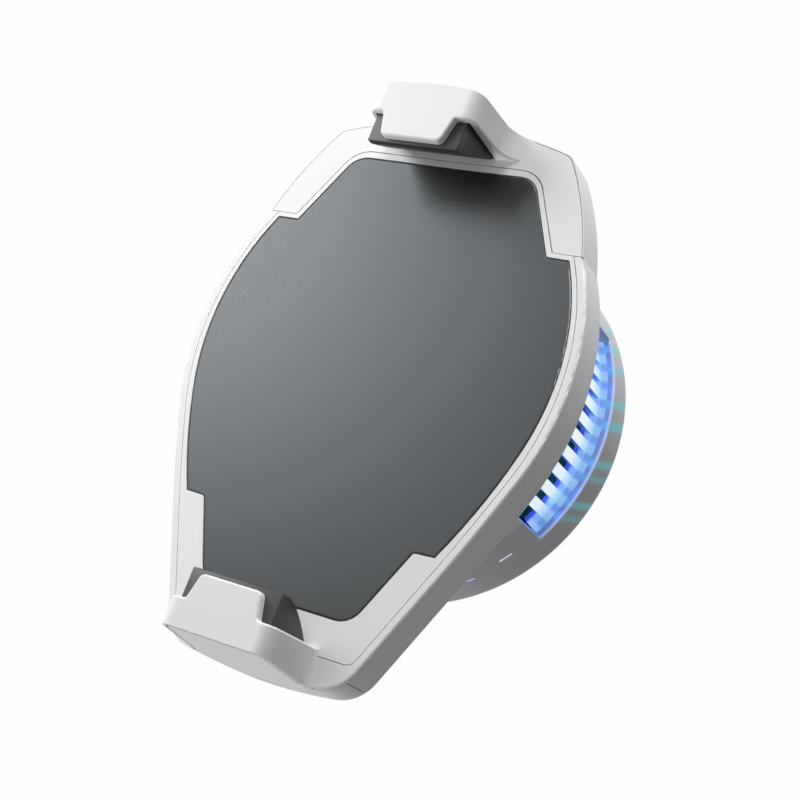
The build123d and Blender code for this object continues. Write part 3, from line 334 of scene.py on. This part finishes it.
# The base colour carries the painted shade of the drum and the seam, under the painted light.
set_inputs(
    tree,
    shader,
    {
        "Base Color": layered(
            tree, own_colour, (drum_shade_mask, "C6C8CC"), (seam_shade_mask, "6C6E71"), (cover, light_colour)
        ),
        "Emission Color": light_colour,
        "Emission Strength": add_node(tree, "ShaderNodeMath", glows, operation="MAXIMUM"),
    },
)
print("nodes in the housing's finish:", len(tree.nodes))

# %% [markdown]
# ## Metals
#
# The cold plate is aluminium that was bead-blasted and then anodised dark grey. Blasting leaves
# small dents that spread a reflection wide, and anodising keeps the metal look but darkens it.
# The heatsink is bare aluminium, paler, with lines from the press it was extruded by. The guide
# rods are ground steel with a tight highlight and fine lines, and the screws are zinc plated and
# a duller grey. In the motor, the core's stacked sheets show as thin layers, the coils are copper
# wire with a warm enamel sheen, the magnet is dull grey ferrite and the sintered bronze bearing
# is matt and porous. The rods' brass bushings are smooth and yellow, and the socket's nickel
# plating is the smoothest of all.
#
# All of them are pure metals in the shader and differ in colour, roughness and grain. A stretch
# below 1 along an axis draws the grain out along it, as drawing, grinding or winding does.

# %% Metal finishes
BLAST_DENT = 0.3 * MM
GRAIN_LOW, GRAIN_HIGH = 0.35, 0.65
ROUGHNESS_SPREAD = 0.1
METAL_GRAIN_STRENGTH = 0.3


def metal(name, light_hex, dark_hex, roughness, grain_size, grain_depth, stretch=(1, 1, 1)):
    """A metal with a grain of a given size, stretched along an axis where it was ground."""
    finish, tree, shader, place = new_finish(name)
    shader.inputs["Metallic"].default_value = 1.0
    mapping = add_node(tree, "ShaderNodeMapping", {"Vector": place, "Scale": Vector(stretch)})
    grain = add_node(
        tree, "ShaderNodeTexNoise", {"Vector": mapping, "Scale": 1 / grain_size, "Detail": 2.0}
    )
    colour = add_node(tree, "ShaderNodeValToRGB", {"Fac": grain})
    set_stops(colour, [(GRAIN_LOW, dark_hex), (GRAIN_HIGH, light_hex)])
    spread = add_node(
        tree,
        "ShaderNodeMapRange",
        {
            "Value": grain,
            "From Min": GRAIN_LOW,
            "From Max": GRAIN_HIGH,
            "To Min": roughness * (1 - ROUGHNESS_SPREAD),
            "To Max": roughness * (1 + ROUGHNESS_SPREAD),
        },
    )
    bump = add_node(
        tree,
        "ShaderNodeBump",
        {"Height": grain, "Strength": METAL_GRAIN_STRENGTH, "Distance": grain_depth},
    )
    set_inputs(tree, shader, {"Base Color": colour, "Roughness": spread, "Normal": bump})
    return finish


anodised = metal("dark anodised aluminium", "5A5D5F", "57595B", 0.42, BLAST_DENT, 0.008 * MM)
bare_aluminium = metal(
    "bare extruded aluminium", "C9CBCE", "BFC1C4", 0.35, 0.4 * MM, 0.01 * MM, (1, 1, 0.1)
)
ground_steel = metal("ground steel", "B9BABD", "A9ABAE", 0.22, 0.2 * MM, 0.005 * MM, (1, 0.05, 1))
zinc = metal("zinc-plated steel", "8E9092", "7C7E80", 0.32, 0.4 * MM, 0.01 * MM)
laminated = metal(
    "laminated core steel", "6F7173", "55575A", 0.45, 0.5 * MM, 0.02 * MM, (0.05, 0.05, 1)
)
brass = metal("turned brass", "C9A45A", "B8934C", 0.28, 0.3 * MM, 0.01 * MM, (1, 0.1, 1))
bronze = metal("sintered bronze", "A9784A", "8C6038", 0.5, 0.25 * MM, 0.03 * MM)
copper = metal("enamelled copper", "C8703C", "9C4F26", 0.3, 0.35 * MM, 0.04 * MM, (0.1, 0.1, 1))
nickel = metal("nickel-plated shell", "C9C6BF", "BDBAB4", 0.18, 0.5 * MM, 0.004 * MM)
magnet = metal("bonded ferrite", "2A2A2C", "1E1E20", 0.55, 0.2 * MM, 0.02 * MM)
print("metals, from the plate to the magnet:", anodised.name, magnet.name)

# %% [markdown]
# ## Rubber, foam, wire and ceramic
#
# The jaw pads are moulded rubber: very dark, with a soft sheen and a slightly rough skin. Their
# top faces are painted a lighter grey, a painted highlight for the light they catch from above.
# The foam seal, the thermal pads and the ceramic plates are dull and only differ in colour and
# grain. The red insulation of the wires and the green lacquer of the boards are smoother, and
# the chips are black resin.

# %% Soft and dull finishes
TOP_HIGHLIGHT_NONE, TOP_HIGHLIGHT_FULL = 0.75, 0.98

rubber = moulded_plastic("moulded rubber", "2C2D2F", "262729", 0.36, 0.46, 0.02 * MM)
foam = moulded_plastic("closed-cell foam", "2B2B2D", "1B1B1D", 0.85, 0.95, 0.12 * MM)
insulation = moulded_plastic("wire insulation", "A31A18", "8E1512", 0.35, 0.45, 0.01 * MM)
silicone = moulded_plastic("filled silicone", "8C96AD", "808AA2", 0.55, 0.70, 0.04 * MM)
ceramic = moulded_plastic("fired alumina", "EDECE6", "E4E3DC", 0.35, 0.50, 0.01 * MM)
chip_resin = moulded_plastic("moulded chip resin", "26272A", "1D1E20", 0.50, 0.60, 0.02 * MM)
solder_mask = moulded_plastic("green solder mask", "0E4A30", "0A3D27", 0.25, 0.35, 0.01 * MM)
tree = rubber.node_tree
shader = tree.nodes["Principled BSDF"]
shader.inputs["Sheen Weight"].default_value = 0.05
normal = add_node(tree, "ShaderNodeNewGeometry").outputs["True Normal"]
upward = add_node(tree, "ShaderNodeSeparateXYZ", {"Vector": normal}).outputs["Z"]
# Painted highlight: faces that look up get a lighter grey base colour.
top_highlight = add_node(
    tree,
    "ShaderNodeMapRange",
    {"Value": upward, "From Min": TOP_HIGHLIGHT_NONE, "From Max": TOP_HIGHLIGHT_FULL},
)
own_colour = shader.inputs["Base Color"].links[0].from_socket
set_inputs(tree, shader, {"Base Color": layered(tree, own_colour, (top_highlight, "4E4F52"))})
print("soft and dull finishes:", rubber.name, foam.name)

# %% [markdown]
# ## Light guides
#
# The bars in the side windows are clear plastic that glows from the light-emitting diodes under
# it. Light leaves a bar through its outer face, which looks nearly white, and a little bluer
# towards the rail it stands on. The sides of a bar let little light out, so the gaps between the
# bars are dark blue. The strength stays close to 1, where a colour shows as it is written. The
# two small light windows and the diodes glow in soft patches of two colours.

# %% Bars of the side windows
GUIDE_ROUGHNESS = 0.25
GUIDE_GLOW = 0.80
RAIL_FOOT, BAR_FOOT, BAR_LOW, BAR_HIGH = 0, 7.0 * MM, 8.0 * MM, 14.0 * MM
BAR_PITCH, BAR_SHARE, BAR_SOFT = radians(5.7), 0.58, 0.08
GUIDE_INNER, GUIDE_OUTER = 25.2 * MM, 25.7 * MM
SIDE_FACE, FRONT_FACE = 0.35, 0.6

lit_bars, tree, shader, place = new_finish("glowing light guide")
x, y, z = add_node(tree, "ShaderNodeSeparateXYZ", {"Vector": place}).outputs
radius = length_of(tree, x, y)
height_share = add_node(
    tree, "ShaderNodeMapRange", {"Value": z, "From Min": BAR_FOOT, "From Max": BAR_HIGH}
)
bar_colour = add_node(tree, "ShaderNodeValToRGB", {"Fac": height_share})
set_stops(bar_colour, [(0.0, "8CB8F0"), (0.13, "A0CCF6"), (0.2, "B0E2F8"), (0.5, "EEFAFF")])
gap_colour = add_node(tree, "ShaderNodeValToRGB", {"Fac": height_share})
set_stops(gap_colour, [(0.1, "6498DC"), (0.35, "4468B0"), (0.8, "2A3868")])

# A bar's front looks along the drum's radius and its top looks up. Its sides do neither.
normal = add_node(tree, "ShaderNodeNewGeometry").outputs["True Normal"]
normal_x, normal_y, normal_z = add_node(
    tree, "ShaderNodeSeparateXYZ", {"Vector": normal}
).outputs
parts = {0: product(tree, x, normal_x), 1: product(tree, y, normal_y)}
along = add_node(tree, "ShaderNodeMath", parts, operation="ADD")
outward = add_node(tree, "ShaderNodeMath", {0: along, 1: radius}, operation="DIVIDE")
outward = add_node(tree, "ShaderNodeMath", {0: outward}, operation="ABSOLUTE")
facing = add_node(tree, "ShaderNodeMath", {0: outward, 1: normal_z}, operation="MAXIMUM")
front = add_node(
    tree,
    "ShaderNodeMapRange",
    {"Value": facing, "From Min": SIDE_FACE, "From Max": FRONT_FACE},
)

# On the rail below the bars, the places between two bars are a darker blue.
turn = add_node(tree, "ShaderNodeMath", {0: y, 1: x}, operation="ARCTAN2")
turn = add_node(tree, "ShaderNodeMath", {0: turn, 1: BAR_PITCH}, operation="DIVIDE")
turn = add_node(tree, "ShaderNodeMath", {0: turn}, operation="FRACT")
from_bar = add_node(tree, "ShaderNodeMath", {0: turn, 1: 0.5}, operation="SUBTRACT")
from_bar = add_node(tree, "ShaderNodeMath", {0: from_bar}, operation="ABSOLUTE")
between_bars = add_node(
    tree,
    "ShaderNodeMapRange",
    {
        "Value": from_bar,
        "From Min": BAR_SHARE / 2 - BAR_SOFT,
        "From Max": BAR_SHARE / 2 + BAR_SOFT,
    },
)
rail_gap = product(tree, between(tree, z, RAIL_FOOT, BAR_LOW), between_bars)
bar_colour = layered(tree, gap_colour, (front, bar_colour), (rail_gap, "6E9CE4"))
outside = add_node(
    tree,
    "ShaderNodeMapRange",
    {"Value": radius, "From Min": GUIDE_INNER, "From Max": GUIDE_OUTER},
)
set_inputs(
    tree,
    shader,
    {
        "Base Color": "405890",
        "Roughness": GUIDE_ROUGHNESS,
        "Emission Color": layered(tree, "2A3C98", (outside, bar_colour)),
        "Emission Strength": GUIDE_GLOW,
    },
)
print("angle from bar to bar in radians:", BAR_PITCH)

# %% Small light windows and diodes
GLOW_LOW, GLOW_HIGH = 0.35, 0.6


def glowing(name, light_hex, dark_hex, patch, strength):
    """A light guide whose glow shifts between two colours over patches of a given size."""
    finish, tree, shader, place = new_finish(name)
    noise = add_node(
        tree, "ShaderNodeTexNoise", {"Vector": place, "Scale": 1 / patch, "Detail": 1.0}
    )
    glow = add_node(tree, "ShaderNodeValToRGB", {"Fac": noise})
    set_stops(glow, [(GLOW_LOW, dark_hex), (GLOW_HIGH, light_hex)])
    set_inputs(
        tree,
        shader,
        {
            "Base Color": dark_hex,
            "Roughness": GUIDE_ROUGHNESS,
            "Emission Color": glow,
            "Emission Strength": strength,
        },
    )
    return finish


lit_white = glowing("white light window", "F2F4FF", "D5DCF5", 1 * MM, 0.7)
lit_violet = glowing("violet light window", "B7A8F0", "9A90D8", 1 * MM, 0.6)
diode = glowing("diode resin", "8FD8FF", "4FA8F0", 1 * MM, 1.2)
print("glowing finishes:", lit_bars.name, lit_white.name, lit_violet.name, diode.name)

# %% [markdown]
# ## Give each CAD piece its finish
#
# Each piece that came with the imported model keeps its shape. Only the material in its slot
# changes.

# %% Assign the finishes
FINISHES = {
    white_abs: ("front_panel", "front_frame", "slider_cover", "slider_base", "hub_cap"),
    lit_abs: ("rear_housing",),
    anodised: ("cold_plate",),
    lit_bars: ("vent_grille_right", "vent_grille_left"),
    lit_white: ("status_window_white",),
    lit_violet: ("status_window_violet",),
    ground_steel: ("guide_rod_left", "guide_rod_right", "shaft"),
    zinc: (
        "rod_clips",
        "housing_screws",
        "plate_screws",
        "slider_screws",
        "heatsink_screws",
        "fan_screws",
    ),
    brass: ("guide_bushings",),
    bronze: ("bearing_sleeve",),
    bare_aluminium: ("heatsink",),
    ceramic: ("peltier_module",),
    silicone: ("hot_pad", "cold_pad"),
    foam: ("foam_gasket",),
    insulation: ("peltier_leads",),
    nylon: ("fan_frame", "thrust_plate", "shaft_clip", "impeller", "rear_guard"),
    solder_mask: ("motor_board", "ring_board"),
    laminated: ("stator_core", "rotor_yoke"),
    copper: ("stator_coils",),
    magnet: ("magnet_ring",),
    chip_resin: ("control_chips", "thermistor"),
    diode: ("leds",),
    nickel: ("usb_socket",),
}


def set_finish(piece, finish):
    """Puts one material on a whole mesh."""
    piece.data.materials.clear()
    piece.data.materials.append(finish)


for finish, names in FINISHES.items():
    for name in names:
        set_finish(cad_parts[name], finish)
print("finished CAD pieces:", sum(len(names) for names in FINISHES.values()))

# %% [markdown]
# ## Rubber jaw pads
#
# Each jaw holds a block of rubber that slopes from the lip down to the slab. In the CAD it is a
# sharp-edged wedge. The real one is moulded, so its edges are rounded. The side view is drawn as
# one face, extruded across the jaw, and its edges are bevelled.

# %% Pad shapes
# Lengths of the pads are in millimetres.
PLATE_CENTRE_Y = -3.5
FACE_HEIGHT = 25.5
PAD_HALF = 7.05
PAD_TOP = 9.2
PAD_FOOT = 0.05
EDGE_ROUND = 0.12
ROUND_SEGMENTS = 3
CURVE_STEPS = 8
EDGE_ANGLE, SHADING_ANGLE = radians(25), radians(40)


def pad_outline(tip, nose, foot, back, bulge):
    """The pad's side view as (y, height) corners, with its sloping front drawn as a curve."""
    corners = [(back, PAD_FOOT), (back, PAD_TOP), (tip, PAD_TOP)]
    low = PAD_TOP - nose
    outward = 1 if back < tip else -1
    for step in range(CURVE_STEPS + 1):
        share = step / CURVE_STEPS
        # A parabola: nothing at both ends of the slope, and the whole bulge in its middle.
        swell = 4 * bulge * share * (1 - share)
        corner_y = tip + (foot - tip) * share + outward * swell
        corners.append((corner_y, low + (PAD_FOOT - low) * share + swell / 2))
    return corners


def make_pad(name, corners, body, node):
    """A rubber pad made from its side view, with rounded edges."""
    mesh = bmesh.new()
    points = [
        mesh.verts.new(
            (-PAD_HALF * MM, (PLATE_CENTRE_Y + y) * MM, (FACE_HEIGHT + height) * MM)
        )
        for y, height in corners
    ]
    face = mesh.faces.new(points)
    grown = bmesh.ops.extrude_face_region(mesh, geom=[face])
    moved = [item for item in grown["geom"] if isinstance(item, bmesh.types.BMVert)]
    bmesh.ops.translate(mesh, vec=(2 * PAD_HALF * MM, 0, 0), verts=moved)
    bmesh.ops.recalc_face_normals(mesh, faces=mesh.faces)
    sharp = [edge for edge in mesh.edges if edge.calc_face_angle() > EDGE_ANGLE]
    bmesh.ops.bevel(
        mesh,
        geom=sharp,
        offset=EDGE_ROUND * MM,
        offset_type="OFFSET",
        segments=ROUND_SEGMENTS,
        profile=0.5,
        affect="EDGES",
        material=-1,
        clamp_overlap=True,
    )
    data = bpy.data.meshes.new(name)
    mesh.to_mesh(data)
    mesh.free()
    for polygon in data.polygons:
        polygon.use_smooth = True
    data.set_sharp_from_angle(angle=SHADING_ANGLE)
    pad = bpy.data.objects.new(name, data)
    bpy.context.scene.collection.objects.link(pad)
    set_finish(pad, rubber)
    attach(pad, body)
    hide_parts(node)
    print(name, "faces:", len(data.polygons))


lower_outline = pad_outline(tip=-31.95, nose=1.7, foot=-36.4, back=-37.5, bulge=0.9)
upper_outline = pad_outline(tip=30.1, nose=0.9, foot=34.1, back=35.6, bulge=0.25)
make_pad("lower_pad_rubber", lower_outline, "body", "lower_jaw_pad")
make_pad("upper_pad_rubber", upper_outline, "slider", "upper_jaw_pad")

# %% [markdown]
# ## Return springs
#
# The two springs lie on the guide rods inside the slab. When the jaw is pulled out, a clip on
# each rod squeezes its spring against the bushing. Each spring is copied from the packed model's
# coil, which it replaces.

# %% Spring copies
# Lengths of the springs are in millimetres.
WELD_DISTANCE = 0.001


def make_spring(name, node):
    """A copy of a packed spring, which takes its place."""
    mesh = bmesh.new()
    mesh.from_mesh(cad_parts[node].data)
    bmesh.ops.remove_doubles(mesh, verts=mesh.verts, dist=WELD_DISTANCE * MM)
    data = bpy.data.meshes.new(name)
    mesh.to_mesh(data)
    mesh.free()
    data.set_sharp_from_angle(angle=SHADING_ANGLE)
    spring = bpy.data.objects.new(name, data)
    bpy.context.scene.collection.objects.link(spring)
    set_finish(spring, ground_steel)
    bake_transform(spring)
    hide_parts(node)
    print(name, "faces:", len(data.polygons))


make_spring("coil_spring_right", "return_spring_right")
make_spring("coil_spring_left", "return_spring_left")

# %% [markdown]
# ## Studio
#
# The floor is a plain sheet. It looks white to the camera and in reflections, and a part of its
# own shading stays, so that it keeps the object's soft shadow. The sky is weaker on the right,
# which leaves the right-hand walls grey. A small key lamp stands at the upper left, where the
# photo's highlight on the plate comes from. A large front lamp, low at the lower left, lights
# the fixed jaw's outer wall, and an edge lamp beyond the upper end lights the rims that face it.
# Four small blue lights behind the bars colour the inside of the drum.

# %% Floor
FLOOR_HALF = 1.5
FLOOR_GLOW = 1.05
SHADOW_KEPT = 0.06
floor_mesh = bmesh.new()
bmesh.ops.create_grid(floor_mesh, x_segments=1, y_segments=1, size=FLOOR_HALF)
floor_data = bpy.data.meshes.new("floor")
floor_mesh.to_mesh(floor_data)
floor_mesh.free()
floor = bpy.data.objects.new("floor", floor_data)
bpy.context.scene.collection.objects.link(floor)
paper, tree, shader, _ = new_finish("white paper floor")
set_inputs(tree, shader, {"Base Color": "3C3C3C", "Roughness": 0.9})
glow = add_node(tree, "ShaderNodeEmission", {"Color": "FFFFFF", "Strength": FLOOR_GLOW})
rays = add_node(tree, "ShaderNodeLightPath").outputs
bent = {0: rays["Is Glossy Ray"], 1: rays["Is Transmission Ray"]}
bent = add_node(tree, "ShaderNodeMath", bent, operation="MAXIMUM")
seen = {0: rays["Is Camera Ray"], 1: bent}
seen = add_node(tree, "ShaderNodeMath", seen, operation="MAXIMUM")
white_share = product(tree, seen, 1 - SHADOW_KEPT)
surface = add_node(tree, "ShaderNodeMixShader", {0: white_share, 1: shader, 2: glow})
set_inputs(tree, tree.nodes["Material Output"], {"Surface": surface})
set_finish(floor, paper)
print("floor, metres from side to side:", 2 * FLOOR_HALF)

# %% Sky
SKY_RIGHT, SKY_LEFT = 0.22, 0.40
world = bpy.data.worlds.new("studio")
bpy.context.scene.world = world
world.use_nodes = True
tree = world.node_tree
direction = add_node(tree, "ShaderNodeTexCoord").outputs["Generated"]
rightward = add_node(tree, "ShaderNodeSeparateXYZ", {"Vector": direction}).outputs["X"]
level = add_node(
    tree,
    "ShaderNodeMapRange",
    {
        "Value": rightward,
        "From Min": -1.0,
        "From Max": 1.0,
        "To Min": SKY_LEFT,
        "To Max": SKY_RIGHT,
    },
)
rays = add_node(tree, "ShaderNodeLightPath").outputs
seen = {0: level, 1: rays["Is Camera Ray"]}
seen = add_node(tree, "ShaderNodeMath", seen, operation="MAXIMUM")
set_inputs(tree, tree.nodes["Background"], {"Color": "FFFFFF", "Strength": seen})
print("sky, left and right:", SKY_LEFT, SKY_RIGHT)

# %% Lamps
OBJECT_MIDDLE = Vector((0, 0, 0.02))
# Each lamp's place, the side of its square and its power in watts.
LAMPS = {
    "key": ((-0.188, 0.092, 0.178), 0.15, 0.36),
    "front": ((-0.46, -0.42, 0.08), 0.40, 2.6),
    "edge": ((0.06, 0.50, 0.17), 0.30, 2.8),
}
for name, (place, size, watts) in LAMPS.items():
    light = bpy.data.lights.new(name, "AREA")
    light.size = size
    light.energy = watts
    lamp = bpy.data.objects.new(name, light)
    lamp.location = place
    lamp.rotation_euler = (OBJECT_MIDDLE - Vector(place)).to_track_quat("-Z", "Y").to_euler()
    bpy.context.scene.collection.objects.link(lamp)
print("soft lamps:", ", ".join(LAMPS))

# %% Blue lights in the drum
DRUM_LIGHT_WATTS = 0.0028
DRUM_LIGHT_X, DRUM_LIGHT_Y, DRUM_LIGHT_HEIGHT = 22.4 * MM, 8 * MM, 12 * MM
for x_sign in (1, -1):
    for y_sign in (-1, 1):
        light = bpy.data.lights.new("drum glow", "POINT")
        light.energy = DRUM_LIGHT_WATTS
        light.color = linear("5070D8")[:3]
        light.shadow_soft_size = 1 * MM
        lamp = bpy.data.objects.new("drum glow", light)
        lamp.location = (x_sign * DRUM_LIGHT_X, y_sign * DRUM_LIGHT_Y, DRUM_LIGHT_HEIGHT)
        bpy.context.scene.collection.objects.link(lamp)
print("colour of the drum's lights:", tuple(round(part, 3) for part in light.color))

# %% [markdown]
# ## Camera
#
# The camera stands where the photo's perspective puts it: the outlines of the plate, the rim and
# both jaws were solved together as one view.

# %% Camera
lens = bpy.data.cameras.new("camera")
lens.lens = 69.75
lens.sensor_width = 36.0
lens.clip_start = 0.01
camera = bpy.data.objects.new("camera", lens)
camera.location = (0.110065, -0.055453, 0.192721)
camera.rotation_euler = (radians(24.910), radians(24.534), radians(22.415))
bpy.context.scene.collection.objects.link(camera)
bpy.context.scene.camera = camera
bpy.context.scene.view_settings.view_transform = "Standard"
